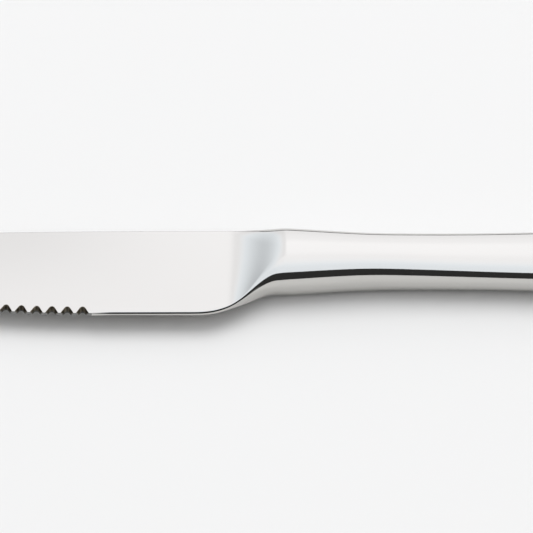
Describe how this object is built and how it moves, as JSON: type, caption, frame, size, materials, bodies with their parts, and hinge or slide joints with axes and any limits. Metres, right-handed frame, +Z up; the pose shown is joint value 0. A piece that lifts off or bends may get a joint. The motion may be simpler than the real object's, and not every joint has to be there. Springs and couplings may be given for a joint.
{
  "type": "steak knife",
  "caption": "All-steel steak knife with a scalloped edge, a forged bolster and a slim hollow handle, lying on its side.",
  "frame": {"origin": "under the middle of the bounding box, on the surface that the knife lies on", "axes": "+X from the tip to the butt of the handle, +Y from the cutting edge to the spine, +Z up through the side of the knife"},
  "size_m": [0.235, 0.021, 0.0088],
  "materials": {
    "blade_steel": "mirror-polished stainless steel, uncoated",
    "handle_steel": "mirror-polished stainless steel, uncoated",
    "silver_solder": "ground and polished flush with the steel",
    "handle_cement": "cast filler, matte and slightly porous"
  },
  "bodies": {
    "root": {"blade": "blade_steel", "handle_shell_upper": "handle_steel", "handle_shell_lower": "handle_steel", "seam_solder": "silver_solder", "shoulder_solder": "silver_solder", "tang_cement": "handle_cement"}
  },
  "joints": []
}
